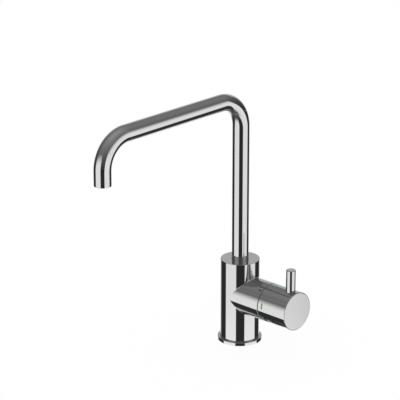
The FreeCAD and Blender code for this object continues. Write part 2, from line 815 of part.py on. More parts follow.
def spindle_adapter():
    adapter = cylinder_x(adapter_r, adapter_start, adapter_end)
    drive = hexagon(drive_hex_across + 2 * seat_clearance, web_start - adapter_start,
                    Vector(adapter_start, 0, barrel_axis_height), Vector(1, 0, 0))
    flat = block((grub_x - grub_diameter, -adapter_r, barrel_axis_height - 2 * adapter_r),
                 (grub_x + grub_diameter, adapter_r, barrel_axis_height - grub_tip_r))
    return adapter.cut([
        drive,
        cylinder_x(adapter_screw_diameter / 2 + seat_clearance, web_start, web_end),
        cylinder_x(adapter_screw_head_diameter / 2 + free_clearance, web_end, adapter_end),
        flat,
    ]).Solids[0]


def adapter_screw():
    head_end = web_end + adapter_screw_head_height
    shank = cylinder_x(adapter_screw_diameter / 2, web_end - adapter_screw_length, web_end)
    head = cylinder_x(adapter_screw_head_diameter / 2, web_end, head_end)
    half = adapter_screw_head_height / 2
    socket = hexagon(adapter_screw_head_diameter / 2, half, Vector(head_end - half, 0, barrel_axis_height),
                     Vector(1, 0, 0))
    return head.fuse(shank).removeSplitter().cut(socket).Solids[0]


def handle_glide_ring():
    return ring_x(barrel_r - glide_washer_setback, cartridge_bore / 2 + cartridge_clearance, barrel_reach,
                  knob_start - glide_washer_clearance)


def handle_knob():
    shell = cylinder_x(barrel_r, knob_start, knob_end)
    shell = rounded(shell, knob_end_round, upright_at(knob_end))
    shell = broken(shell, edge_break, upright_at(knob_start))
    shell = shell.cut(cylinder_x(knob_inner_r, knob_start, knob_end - knob_end_wall))
    hub = cylinder_x(hub_r, hub_start, knob_end - knob_end_wall)
    boss_top = barrel_axis_height + barrel_r - knob_wall / 2
    boss = cylinder_z(lever_boss_diameter / 2, barrel_axis_height, boss_top, lever_x)
    knob = shell.fuse([hub, boss]).removeSplitter()
    thread_low = lever_seat - lever_thread_length - free_clearance
    grub_hole = cylinder_z(grub_diameter / 2 + thread_clearance, barrel_axis_height - knob_inner_r,
                           barrel_axis_height, grub_x)
    plug_hole = cylinder_z(plug_diameter / 2 + seat_clearance, barrel_axis_height - 2 * barrel_r,
                           barrel_axis_height - hub_r, grub_x)
    return knob.cut([
        cylinder_x(hub_bore_r, hub_start, hub_bore_end),
        cylinder_z(lever_diameter / 2 + seat_clearance, lever_seat, lever_seat + barrel_r, lever_x),
        cylinder_z(lever_thread_diameter / 2 + thread_clearance, thread_low, lever_seat, lever_x),
        grub_hole,
        plug_hole,
        inlay_pocket(mark_x, mark_width, mark_length, mark_depth, index_angle + mark_offset_angle),
        inlay_pocket(mark_x, mark_width, mark_length, mark_depth, index_angle - mark_offset_angle),
    ]).Solids[0]


def lever_pin():
    pin = cylinder_z(lever_diameter / 2, lever_seat, lever_top, lever_x)
    pin = rounded(pin, lever_top_round, level_at(lever_top))
    tail = cylinder_z(lever_thread_diameter / 2, lever_seat - lever_thread_length, lever_seat, lever_x)
    return pin.fuse(tail).removeSplitter().Solids[0]


def handle_grub_screw():
    top = barrel_axis_height - grub_tip_r
    low = top - grub_length
    half = grub_length / 2
    socket = hexagon(grub_diameter / 2, half, Vector(grub_x, 0, low), Vector(0, 0, 1))
    return cylinder_z(grub_diameter / 2, low, top, grub_x).cut(socket).Solids[0]


def grub_screw_plug():
    """Cap in the access hole under the knob, cut to the knob's own curve."""
    flush = barrel_axis_height - barrel_r
    plug = cylinder_z(plug_diameter / 2, flush, flush + knob_wall, grub_x)
    plug = plug.common(cylinder_x(barrel_r, knob_start, knob_end))
    return plug.cut(cylinder_x(barrel_r - plug_thickness, knob_start, knob_end)).Solids[0]


def filtered_mark():
    return inlay(mark_x, mark_width, mark_length, mark_depth, index_angle + mark_offset_angle)


def tap_water_mark():
    return inlay(mark_x, mark_width, mark_length, mark_depth, index_angle - mark_offset_angle)


def index_mark():
    return inlay(index_x, index_length, index_width, mark_depth, index_angle)


pieces = [
    body_casting, base_ring, deck_gasket, index_mark, waterway_block, waterway_seal,
    inlet_foot, inlet_o_rings, foot_screws, fixing_stud, clamp_gasket, clamp_plate, clamp_nut,
    spout_tube, spout_bush, spout_o_rings, spout_glide_rings, spout_thrust_ring, spout_lock_screw,
    filtered_tube, filtered_tube_o_ring,
    aerator_housing, aerator_core, aerator_gasket, filtered_nozzle,
    cartridge_base, cartridge_port_seals, fixed_ceramic_disc, moving_ceramic_disc, disc_carrier,
    cartridge_sleeve, cartridge_spindle, spindle_o_ring, cartridge_nut,
    spindle_adapter, adapter_screw, handle_glide_ring, handle_knob, lever_pin, handle_grub_screw,
    grub_screw_plug, filtered_mark, tap_water_mark,
]

os.makedirs("parts", exist_ok=True)
for piece in pieces:
    shape = piece()
    name = piece.__name__
    print(name, len(shape.Solids), shape.isValid(), round(shape.Volume, 2))
    shape.exportStep("parts/" + name + ".step")
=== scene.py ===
import math

import bmesh
import bpy
from mathutils import Matrix, Vector


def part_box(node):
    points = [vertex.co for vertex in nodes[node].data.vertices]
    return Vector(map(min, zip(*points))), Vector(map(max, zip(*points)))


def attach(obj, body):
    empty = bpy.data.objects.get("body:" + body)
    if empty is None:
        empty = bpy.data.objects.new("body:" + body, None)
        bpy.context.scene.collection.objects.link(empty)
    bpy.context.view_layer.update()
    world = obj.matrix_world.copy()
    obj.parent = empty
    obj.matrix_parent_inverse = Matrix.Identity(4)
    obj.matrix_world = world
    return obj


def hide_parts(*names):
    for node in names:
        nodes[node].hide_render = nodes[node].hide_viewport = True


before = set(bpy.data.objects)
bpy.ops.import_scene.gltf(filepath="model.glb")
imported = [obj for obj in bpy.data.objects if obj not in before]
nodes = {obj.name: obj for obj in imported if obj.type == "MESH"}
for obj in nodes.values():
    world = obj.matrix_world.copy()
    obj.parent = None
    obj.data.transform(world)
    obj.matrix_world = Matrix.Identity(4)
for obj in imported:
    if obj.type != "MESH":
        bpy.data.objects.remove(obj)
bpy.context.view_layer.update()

UP = Vector((0, 0, 1))
ACROSS = Vector((1, 0, 0))
CENTRE = Vector((0, 0, 0))
MM = 0.001

# Sizes of the tap, read from the frame where it gives them
ring_low, ring_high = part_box("base_ring")
casting_low, casting_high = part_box("body_casting")
knob_low, knob_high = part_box("handle_knob")
tube_low, tube_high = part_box("spout_tube")
pin_low, pin_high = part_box("lever_pin")
_, block_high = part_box("waterway_block")
_, foot_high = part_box("inlet_foot")
_, gasket_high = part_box("deck_gasket")
lock_low, lock_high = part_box("spout_lock_screw")
stud_low, stud_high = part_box("fixing_stud")

body_radius = casting_high.y
barrel_radius = knob_high.y
barrel_height = (knob_low.z + knob_high.z) / 2
barrel_axis = Vector((0, 0, barrel_height))
tube_radius = tube_high.x
arm_height = tube_high.z - tube_radius
spout_reach = -tube_low.y - tube_radius
pin_radius = pin_high.y
pin_x = (pin_low.x + pin_high.x) / 2
lock_height = (lock_low.z + lock_high.z) / 2
lock_radius = (lock_high.x - lock_low.x) / 2
stud_x = (stud_low.x + stud_high.x) / 2
stud_radius = stud_high.y

# Sizes that no box gives
bend_radius = 33.2 * MM
outlet_height = 235.5 * MM
tube_wall = 1.2 * MM
junction_fillet = 1.0 * MM
edge_break = 0.4 * MM
ring_edge_round = 0.5 * MM
knob_end_round = 1.0 * MM
pin_top_round = 0.8 * MM
pin_seat_depth = 0.8 * MM
pin_seat_height = barrel_height + barrel_radius - pin_seat_depth
pin_tail_radius = 3.0 * MM
tube_gap = 0.5 * MM
mouth_gap = 0.2 * MM
mouth_lip = 0.6 * MM
cartridge_bore = 17.5 * MM
cartridge_seat = 12.5 * MM
spout_bore_depth = 21.4 * MM
gasket_inner = 17.5 * MM
ring_bore_gap = 0.3 * MM
seat_gap = 0.05 * MM
knob_wall = 3.5 * MM
knob_end_wall = 5.0 * MM
hub_radius = 13.05 * MM
hub_bore = 9.05 * MM
hub_setback = 3.5 * MM
hub_bore_end = 66.0 * MM
mark_depth = 0.45 * MM
pocket_height = 4 * mark_depth
mark_size = (2.2 * MM, 6.7 * MM)
mark_middle = 51.8 * MM
mark_angles = (82.2, -5.8)
index_size = (4.9 * MM, 1.5 * MM)
index_middle = 42.15 * MM
index_angle = 38.2
thread_pitch = 1.25 * MM
thread_depth = 0.75 * MM
bore_overshoot = 5 * MM

ROUND_STEPS = 192
THREAD_STEPS = 32
BEND_STEPS = 56
EDGE_STEPS = 6
END_STEPS = 8
FILLET_STEPS = 10
SMOOTH_ANGLE = math.radians(32)
SURFACE_REACH = 0.004 * MM
SAME_SIDE = 0.75
SAME_PLACE = 1e-6
WELD_REACH = 1e-7
SPARE_TURNS = 2
# One turn of the thread, as shares of its depth and its pitch
THREAD_TOOTH = ((0, 0), (0, 0.25), (1, 0.5625), (1, 0.6875), (0, 1))


# Mesh helpers

def same(first, second):
    return abs(first - second) < SAME_PLACE


def of_kind(items, kind):
    return [item for item in items if isinstance(item, kind)]


def rim(bm, test):
    """Edges whose two ends pass the test."""
    return [edge for edge in bm.edges if all(test(vert.co) for vert in edge.verts)]


def round_over(bm, edges, radius, count=EDGE_STEPS):
    bmesh.ops.bevel(bm, geom=edges, offset=radius, offset_type="OFFSET", segments=count, profile=0.5,
                    affect="EDGES", material=-1)


def sweep(bm, geom, centre, axis, angle, count, rise=CENTRE, merge=False):
    """Spins geometry round an axis, with a rise at each step, and gives its last copy. A merged sweep closes
    on its start."""
    made = bmesh.ops.spin(bm, geom=geom, cent=centre, axis=axis, dvec=rise, angle=angle, steps=count,
                          use_merge=merge, use_normal_flip=False, use_duplicate=False)
    return made["geom_last"]


def turn(bm, outline, centre, axis):
    """Spins an outline of (radius, along the axis) points round the axis into a closed piece. The outline
    closes on itself, unless it starts on the axis."""
    side = ACROSS if axis is UP else UP
    verts = [bm.verts.new(centre + axis * along + side * radius) for radius, along in outline]
    onward = verts[1:] + verts[:1] if outline[0][0] else verts[1:]
    edges = [bm.edges.new(pair) for pair in zip(verts, onward)]
    sweep(bm, verts + edges, centre, axis, math.tau, ROUND_STEPS, merge=True)
    bmesh.ops.remove_doubles(bm, verts=bm.verts, dist=WELD_REACH)
    bmesh.ops.dissolve_degenerate(bm, edges=bm.edges, dist=WELD_REACH)
    bmesh.ops.recalc_face_normals(bm, faces=bm.faces)


def piece(name, bm):
    mesh = bpy.data.meshes.new(name)
    bm.to_mesh(mesh)
    bm.free()
    made = bpy.data.objects.new(name, mesh)
    bpy.context.scene.collection.objects.link(made)
    return made


def rod(start, end, radius):
    """Closed cylinder between two points, for boring holes."""
    bm = bmesh.new()
    along = end - start
    place = Matrix.Translation((start + end) / 2) @ along.to_track_quat("Z", "Y").to_matrix().to_4x4()
    bmesh.ops.create_cone(bm, cap_ends=True, segments=ROUND_STEPS // 2, radius1=radius, radius2=radius,
                          depth=along.length, matrix=place)
    return piece("bore", bm)


def pocket(middle, size, angle):
    """Box let into the barrel's skin. The angle runs from the top towards the front."""
    bm = bmesh.new()
    lift = barrel_radius - mark_depth + pocket_height / 2
    turned = Matrix.Rotation(math.radians(angle), 4, "X")
    place = Matrix.Translation(barrel_axis) @ turned @ Matrix.Translation((middle, 0, lift))
    bmesh.ops.create_cube(bm, size=1, matrix=place @ Matrix.Diagonal((*size, pocket_height, 1)))
    return piece("pocket", bm)


def bore(made, cutters):
    """Takes the cutters out of a piece."""
    for cutter in cutters:
        cut = made.modifiers.new("cut", "BOOLEAN")
        cut.operation = "DIFFERENCE"
        cut.solver = "EXACT"
        cut.object = cutter
    whole = made.evaluated_get(bpy.context.evaluated_depsgraph_get())
    mesh = bpy.data.meshes.new_from_object(whole)
    made.modifiers.clear()
    old, made.data = made.data, mesh
    mesh.name = made.name
    bpy.data.meshes.remove(old)
    for cutter in cutters:
        bpy.data.meshes.remove(cutter.data)


def polish(made, walls, ends):
    """Smooth shading in which round walls, given as (centre, axis, radius), shade as true cylinders and the
    ends, given as (point, facing, radius), shade as true flats."""
    mesh = made.data
    mesh.polygons.foreach_set("use_smooth", [True] * len(mesh.polygons))
    mesh.set_sharp_from_angle(angle=SMOOTH_ANGLE)
    normals = [corner.vector.copy() for corner in mesh.corner_normals]
    for face in mesh.polygons:
        for corner in face.loop_indices:
            point = mesh.vertices[mesh.loops[corner].vertex_index].co
            for centre, axis, radius in walls:
                out = point - centre
                out -= axis * out.dot(axis)
                outward = out.normalized()
                if abs(out.length - radius) < SURFACE_REACH and outward.dot(face.normal) > SAME_SIDE:
                    normals[corner] = outward
            for centre, facing, radius in ends:
                out = point - centre
                level = out.dot(facing)
                within = (out - facing * level).length < radius + SURFACE_REACH
                if abs(level) < SURFACE_REACH and within and facing.dot(face.normal) > SAME_SIDE:
                    normals[corner] = facing
    mesh.normals_split_custom_set(normals)


def fit(made, body, node, material):
    """Puts a piece on its body, in place of its node and material."""
    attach(made, body)
    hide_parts(node)
    made.data.materials.clear()
    made.data.materials.append(material)


# Shader helpers

def add(tree, kind, **values):
    """New node with its properties, or its inputs where a value names one, set."""
    node = tree.nodes.new(kind)
    for name, value in values.items():
        if name in node.bl_rna.properties:
            setattr(node, name, value)
        else:
            node.inputs[name.replace("_", " ")].default_value = value
    return node


def calc(tree, operation, *values):
    """Math node on sockets or plain numbers."""
    node = add(tree, "ShaderNodeMath", operation=operation)
    for socket, value in zip(node.inputs, values):
        if isinstance(value, (int, float)):
            socket.default_value = value
        else:
            tree.links.new(value, socket)
    return node.outputs[0]


def levels(tree, angle, low, high, table):
    """Colour ramp over an angle from low to high degrees, from a table of (degrees, level) stops."""
    past_low = calc(tree, "SUBTRACT", angle, math.radians(low))
    share = calc(tree, "DIVIDE", past_low, math.radians(high - low))
    ramp = add(tree, "ShaderNodeValToRGB")
    stops = ramp.color_ramp.elements
    while len(stops) < len(table):
        stops.new(0.5)
    for stop, (degrees, level) in zip(stops, table):
        stop.position = (degrees - low) / (high - low)
        stop.color = (level, level, level, 1)
    tree.links.new(share, ramp.inputs["Fac"])
    return ramp.outputs["Color"]


def blend(tree, factor, first, second):
    """Mix of two float sockets or numbers."""
    node = add(tree, "ShaderNodeMix", data_type="FLOAT")
    for name, value in (("Factor", factor), ("A", first), ("B", second)):
        if isinstance(value, (int, float)):
            node.inputs[name].default_value = value
        else:
            tree.links.new(value, node.inputs[name])
    return node.outputs["Result"]


def group(name, inputs, outputs):
    tree = bpy.data.node_groups.new(name, "ShaderNodeTree")
    for label, value in inputs.items():
        kind = "NodeSocketVector" if isinstance(value, tuple) else "NodeSocketFloat"
        tree.interface.new_socket(label, in_out="INPUT", socket_type=kind).default_value = value
    for label in outputs:
        tree.interface.new_socket(label, in_out="OUTPUT", socket_type="NodeSocketFloat")
    return tree, tree.nodes.new("NodeGroupInput").outputs, tree.nodes.new("NodeGroupOutput").inputs


SPECK_SHARE = 0.5
NOISE_MIDDLE = 0.5


def surface_variation():
    """Soft clouds and fine specks over a surface. Grain stretches the specks into lines."""
    tree, given, out = group("surface_variation",
                             {"Cloud Scale": 60.0, "Speck Scale": 2500.0, "Grain": (1.0, 1.0, 1.0),
                              "Rough": 0.1, "Spread": 0.02},
                             ("Clouds", "Roughness", "Height"))
    place = add(tree, "ShaderNodeTexCoord").outputs["Object"]
    clouds = add(tree, "ShaderNodeTexNoise", Detail=3.0, Roughness=0.55)
    specks = add(tree, "ShaderNodeTexNoise", Detail=2.0, Roughness=0.6)
    stretched = add(tree, "ShaderNodeVectorMath", operation="MULTIPLY")
    tree.links.new(place, stretched.inputs[0])
    tree.links.new(given["Grain"], stretched.inputs[1])
    tree.links.new(place, clouds.inputs["Vector"])
    tree.links.new(stretched.outputs["Vector"], specks.inputs["Vector"])
    tree.links.new(given["Cloud Scale"], clouds.inputs["Scale"])
    tree.links.new(given["Speck Scale"], specks.inputs["Scale"])
    both = calc(tree, "MULTIPLY_ADD", specks.outputs["Fac"], SPECK_SHARE, clouds.outputs["Fac"])
    swing = calc(tree, "SUBTRACT", both, NOISE_MIDDLE * (1 + SPECK_SHARE))
    tree.links.new(clouds.outputs["Fac"], out["Clouds"])
    tree.links.new(calc(tree, "MULTIPLY_ADD", swing, given["Spread"], given["Rough"]), out["Roughness"])
    tree.links.new(specks.outputs["Fac"], out["Height"])
    return tree


VARIATION = surface_variation()
ROUND_GRAIN = (1.0, 1.0, 1.0)
RINGS_ROUND_Z = (0.02, 0.02, 1.0)
RINGS_ROUND_X = (1.0, 0.02, 0.02)
LENGTHWISE_Z = (1.0, 1.0, 0.02)


def finish(name, pale, deep, rough, spread, cloud, speck, lift=0.0, grain=ROUND_GRAIN, **sockets):
    """Material whose colour drifts between two shades, with uneven gloss and a fine bump, its lift in mm."""
    material = bpy.data.materials.new(name)
    material.use_nodes = True
    tree = material.node_tree
    shader = tree.nodes["Principled BSDF"]
    for label, value in sockets.items():
        shader.inputs[label.replace("_", " ")].default_value = value
    varied = add(tree, "ShaderNodeGroup", node_tree=VARIATION)
    for label, value in (("Cloud Scale", cloud), ("Speck Scale", speck), ("Grain", grain), ("Rough", rough),
                         ("Spread", spread)):
        varied.inputs[label].default_value = value
    shades = add(tree, "ShaderNodeMix", data_type="RGBA")
    pair = [socket for socket in shades.inputs if socket.type == "RGBA"]
    for socket, colour in zip(pair, (deep, pale)):
        socket.default_value = (*colour, 1)
    tree.links.new(varied.outputs["Clouds"], shades.inputs["Factor"])
    mixed = [socket for socket in shades.outputs if socket.type == "RGBA"]
    tree.links.new(mixed[0], shader.inputs["Base Color"])
    tree.links.new(varied.outputs["Roughness"], shader.inputs["Roughness"])
    if lift:
        bump = add(tree, "ShaderNodeBump", Strength=1.0, Distance=lift * MM)
        tree.links.new(varied.outputs["Height"], bump.inputs["Height"])
        tree.links.new(bump.outputs["Normal"], shader.inputs["Normal"])
    return material


# Finishes

def polished_chrome():
    return finish("polished_chrome", (0.561, 0.562, 0.564), (0.539, 0.540, 0.542), rough=0.03, spread=0.02,
                  cloud=45.0, speck=900.0, Metallic=1.0)


def satin_chrome():
    return finish("satin_chrome", (0.66, 0.66, 0.67), (0.60, 0.60, 0.61), rough=0.24, spread=0.10,
                  cloud=240.0, speck=3000.0, lift=0.002, grain=RINGS_ROUND_Z, Metallic=1.0)


def turned_brass(name, grain):
    return finish(name, (0.78, 0.60, 0.31), (0.62, 0.44, 0.20), rough=0.27, spread=0.16,
                  cloud=130.0, speck=2600.0, lift=0.004, grain=grain, Metallic=1.0)


def zinc_steel(name, grain):
    return finish(name, (0.68, 0.68, 0.67), (0.55, 0.56, 0.58), rough=0.34, spread=0.18,
                  cloud=110.0, speck=2200.0, lift=0.004, grain=grain, Metallic=1.0)


def rubber():
    return finish("seal_rubber", (0.050, 0.050, 0.052), (0.030, 0.030, 0.031), rough=0.62, spread=0.16,
                  cloud=190.0, speck=3600.0, lift=0.008)


def black_plastic():
    return finish("black_plastic", (0.052, 0.052, 0.054), (0.034, 0.034, 0.036), rough=0.45, spread=0.14,
                  cloud=160.0, speck=4200.0, lift=0.004)


def cartridge_plastic():
    return finish("cartridge_plastic", (0.84, 0.84, 0.82), (0.75, 0.75, 0.73), rough=0.42, spread=0.14,
                  cloud=120.0, speck=3200.0, lift=0.004)


def aerator_plastic():
    return finish("aerator_plastic", (0.66, 0.68, 0.70), (0.57, 0.59, 0.61), rough=0.38, spread=0.14,
                  cloud=260.0, speck=3800.0, lift=0.003)


def tube_plastic():
    return finish("tube_plastic", (0.90, 0.92, 0.94), (0.80, 0.83, 0.86), rough=0.30, spread=0.12,
                  cloud=90.0, speck=2400.0, lift=0.003, grain=LENGTHWISE_Z)


def lapped_ceramic():
    return finish("lapped_ceramic", (0.94, 0.93, 0.90), (0.88, 0.86, 0.81), rough=0.11, spread=0.06,
                  cloud=150.0, speck=5200.0, lift=0.001)


def enamel(name, pale, deep):
    return finish(name, pale, deep, rough=0.28, spread=0.10, cloud=420.0, speck=2600.0, lift=0.002,
                  Specular_IOR_Level=0.15)


def dress_nodes():
    """Finishes of the pieces that keep their construction shape."""
    brass_upright = turned_brass("turned_brass", RINGS_ROUND_Z)
    brass_across = turned_brass("turned_brass_across", RINGS_ROUND_X)
    steel_upright = zinc_steel("zinc_steel", RINGS_ROUND_Z)
    steel_flat = zinc_steel("zinc_steel_pressed", ROUND_GRAIN)
    finishes = (
        (satin_chrome(), ("aerator_housing",)),
        (brass_upright, ("inlet_foot", "waterway_block", "spout_bush", "filtered_nozzle")),
        (brass_across, ("cartridge_nut", "cartridge_spindle", "spindle_adapter")),
        (steel_upright, ("clamp_nut", "foot_screws", "handle_grub_screw")),
        (steel_flat, ("clamp_plate", "adapter_screw", "spout_lock_screw")),
        (rubber(), ("deck_gasket", "waterway_seal", "inlet_o_rings", "spout_o_rings", "filtered_tube_o_ring",
                    "aerator_gasket", "cartridge_port_seals", "spindle_o_ring", "clamp_gasket")),
        (black_plastic(), ("spout_glide_rings", "spout_thrust_ring", "handle_glide_ring", "grub_screw_plug")),
        (cartridge_plastic(), ("cartridge_base", "cartridge_sleeve", "disc_carrier")),
        (aerator_plastic(), ("aerator_core",)),
        (tube_plastic(), ("filtered_tube",)),
        (lapped_ceramic(), ("fixed_ceramic_disc", "moving_ceramic_disc")),
        (enamel("green_enamel", (0.150, 0.385, 0.022), (0.125, 0.335, 0.016)), ("filtered_mark",)),
        (enamel("teal_enamel", (0.015, 0.570, 0.515), (0.010, 0.500, 0.450)), ("tap_water_mark",)),
        (enamel("black_enamel", (0.060, 0.060, 0.062), (0.036, 0.036, 0.038)), ("index_mark",)),
    )
    for material, names in finishes:
        for name in names:
            for socket in nodes[name].material_slots:
                socket.material = material


# Chrome pieces

def fillet_loop(bm, step):
    """Ring of vertices along the fillet between upright and barrel, from the upright (0) to the barrel."""
    verts = []
    reach = body_radius + junction_fillet
    wide = barrel_radius + junction_fillet
    share = step / FILLET_STEPS
    for column in range(ROUND_STEPS):
        angle = math.tau * column / ROUND_STEPS
        out = Vector((0, math.sin(angle), math.cos(angle)))
        centre = barrel_axis + out * wide
        centre.x = math.sqrt(reach ** 2 - centre.y ** 2)
        inward = Vector((centre.x, centre.y, 0)).normalized()
        verts.append(bm.verts.new(centre - inward.slerp(out, share) * junction_fillet))
    return verts


def strip(bm, first, second):
    """Quads between two closed rows of vertices."""
    count = len(first)
    for i in range(count):
        j = (i + 1) % count
        bm.faces.new((first[i], first[j], second[j], second[i]))


def upright_ring(bm, columns, height):
    return [bm.verts.new((body_radius * math.cos(angle), body_radius * math.sin(angle), height))
            for angle in columns]


def casting_solid():
    """Upright and side barrel with the fillet between them, closed at its three ends."""
    bm = bmesh.new()
    quarter = ROUND_STEPS // 4
    rows = [fillet_loop(bm, step) for step in range(FILLET_STEPS + 1)]
    for first, second in zip(rows, rows[1:]):
        strip(bm, first, second)
    seat = rows[0]
    barrel_end = [bm.verts.new((casting_high.x, vert.co.y, vert.co.z)) for vert in rows[-1]]
    strip(bm, rows[-1], barrel_end)
    bm.faces.new(barrel_end)
    upper = [seat[i] for i in range(-quarter, quarter + 1)]
    lower = [seat[i] for i in range(3 * quarter, quarter - 1, -1)]
    tip = math.atan2(seat[quarter].co.y, seat[quarter].co.x)
    back_steps = round((math.tau - 2 * tip) / math.tau * ROUND_STEPS)
    back_angles = [tip + (math.tau - 2 * tip) * i / back_steps for i in range(1, back_steps)]
    back = upright_ring(bm, back_angles, barrel_height)
    for edge, height in ((upper + back, casting_high.z), (lower + back, casting_low.z)):
        columns = [math.atan2(vert.co.y, vert.co.x) for vert in edge]
        ends = upright_ring(bm, columns, height)
        strip(bm, edge, ends)
        bm.faces.new(ends)
    bmesh.ops.recalc_face_normals(bm, faces=bm.faces)
    round_over(bm, rim(bm, lambda p: same(p.z, casting_high.z)), edge_break)
    round_over(bm, rim(bm, lambda p: same(p.x, casting_high.x)), edge_break)
    return piece("body_shell", bm)


def body_shell(chrome):
    made = casting_solid()
    spout_floor = casting_high.z - spout_bore_depth
    past_top = casting_high.z + bore_overshoot
    past_bottom = casting_low.z - bore_overshoot
    past_barrel = casting_high.x + bore_overshoot
    past_back = body_radius + bore_overshoot
    bore(made, [
        rod(UP * spout_floor, UP * (casting_high.z - mouth_lip), tube_radius + tube_gap),
        rod(UP * (spout_floor + bore_overshoot), UP * past_top, tube_radius + mouth_gap),
        rod(UP * past_bottom, UP * block_high.z, block_high.y + seat_gap),
        rod(barrel_axis + ACROSS * cartridge_seat, barrel_axis + ACROSS * past_barrel, cartridge_bore),
        rod(UP * lock_height, Vector((0, past_back, lock_height)), lock_radius + seat_gap),
        pocket(index_middle, index_size, index_angle),
    ])
    polish(made, [(CENTRE, UP, body_radius), (barrel_axis, ACROSS, barrel_radius)],
           [(UP * casting_high.z, UP, body_radius)])
    fit(made, "body", "body_casting", chrome)


def base_ring(chrome):
    bm = bmesh.new()
    bore_radius = foot_high.x + ring_bore_gap
    turn(bm, [
        (gasket_high.x + seat_gap, ring_low.z), (ring_high.x, ring_low.z), (ring_high.x, ring_high.z),
        (body_radius + seat_gap, ring_high.z), (body_radius + seat_gap, casting_low.z),
        (bore_radius, casting_low.z), (bore_radius, ring_low.z), (gasket_inner, ring_low.z),
        (gasket_inner, gasket_high.z), (gasket_high.x + seat_gap, gasket_high.z),
    ], CENTRE, UP)
    outer = rim(bm, lambda p: same(p.z, ring_high.z) and same(p.xy.length, ring_high.x))
    round_over(bm, outer, ring_edge_round)
    made = piece("base_ring_chrome", bm)
    polish(made, [(CENTRE, UP, ring_high.x)], [(UP * ring_high.z, UP, ring_high.x)])
    fit(made, "body", "base_ring", chrome)


def spout_pipe(chrome):
    bm = bmesh.new()
    wall = [bm.verts.new((radius, 0, tube_low.z)) for radius in (tube_radius - tube_wall, tube_radius)]
    sweep(bm, wall + [bm.edges.new(wall)], CENTRE, UP, math.tau, ROUND_STEPS // 2, merge=True)
    bmesh.ops.remove_doubles(bm, verts=bm.verts, dist=WELD_REACH)
    bend_height = arm_height - bend_radius

    def run(section, along):
        made = bmesh.ops.extrude_face_region(bm, geom=section)["geom"]
        bmesh.ops.translate(bm, verts=of_kind(made, bmesh.types.BMVert), vec=along)
        return of_kind(made, bmesh.types.BMFace)

    def bend(section, centre):
        made = sweep(bm, section, centre, ACROSS, math.pi / 2, BEND_STEPS)
        return of_kind(made, bmesh.types.BMFace)

    riser_top = run(list(bm.faces), UP * (bend_height - tube_low.z))
    arm_start = bend(riser_top, Vector((0, -bend_radius, bend_height)))
    arm_end = run(arm_start, Vector((0, 2 * bend_radius - spout_reach, 0)))
    outlet_start = bend(arm_end, Vector((0, bend_radius - spout_reach, bend_height)))
    run(outlet_start, UP * (outlet_height - bend_height))
    bmesh.ops.delete(bm, geom=riser_top + arm_start + arm_end + outlet_start, context="FACES")
    bmesh.ops.recalc_face_normals(bm, faces=bm.faces)
    outlet_axis = Vector((0, -spout_reach, 0))
    round_over(bm, rim(bm, lambda p: same(p.z, outlet_height)
                       and same((p - outlet_axis).xy.length, tube_radius)), edge_break)
    made = piece("spout_pipe", bm)
    polish(made, [(CENTRE, UP, tube_radius), (outlet_axis, UP, tube_radius),
                  (UP * arm_height, Vector((0, 1, 0)), tube_radius)], [])
    fit(made, "spout", "spout_tube", chrome)


def knob_shell(chrome):
    bm = bmesh.new()
    inner = barrel_radius - knob_wall
    web = knob_high.x - knob_end_wall
    hub_start = knob_low.x + hub_setback
    turn(bm, [
        (0, knob_high.x), (barrel_radius, knob_high.x), (barrel_radius, knob_low.x), (inner, knob_low.x),
        (inner, web), (hub_radius, web), (hub_radius, hub_start), (hub_bore, hub_start),
        (hub_bore, hub_bore_end), (0, hub_bore_end),
    ], barrel_axis, ACROSS)

    def skin_rim(end):
        return rim(bm, lambda p: same(p.x, end) and same((p - barrel_axis).yz.length, barrel_radius))

    round_over(bm, skin_rim(knob_high.x), knob_end_round, END_STEPS)
    round_over(bm, skin_rim(knob_low.x), edge_break)
    made = piece("knob_shell", bm)
    pin_axis = ACROSS * pin_x
    pin_seat = pin_axis + UP * pin_seat_height
    bore(made, [
        rod(pin_seat, pin_seat + UP * barrel_radius, pin_radius + seat_gap),
        rod(pin_axis + UP * pin_low.z, pin_seat + UP * pin_seat_depth, pin_tail_radius + seat_gap),
        *[pocket(mark_middle, mark_size, angle) for angle in mark_angles],
    ])
    polish(made, [(barrel_axis, ACROSS, barrel_radius)],
           [(barrel_axis + ACROSS * knob_high.x, ACROSS, barrel_radius)])
    fit(made, "handle", "handle_knob", chrome)


def lever(chrome):
    bm = bmesh.new()
    pin_axis = ACROSS * pin_x
    turn(bm, [
        (0, pin_low.z), (pin_tail_radius, pin_low.z), (pin_tail_radius, pin_seat_height),
        (pin_radius, pin_seat_height), (pin_radius, pin_high.z), (0, pin_high.z),
    ], pin_axis, UP)
    top_rim = rim(bm, lambda p: same(p.z, pin_high.z) and same((p - pin_axis).xy.length, pin_radius))
    round_over(bm, top_rim, pin_top_round, END_STEPS)
    made = piece("lever_chrome", bm)
    polish(made, [(pin_axis, UP, pin_radius)], [(pin_axis + UP * pin_high.z, UP, pin_radius)])
    fit(made, "handle", "lever_pin", chrome)


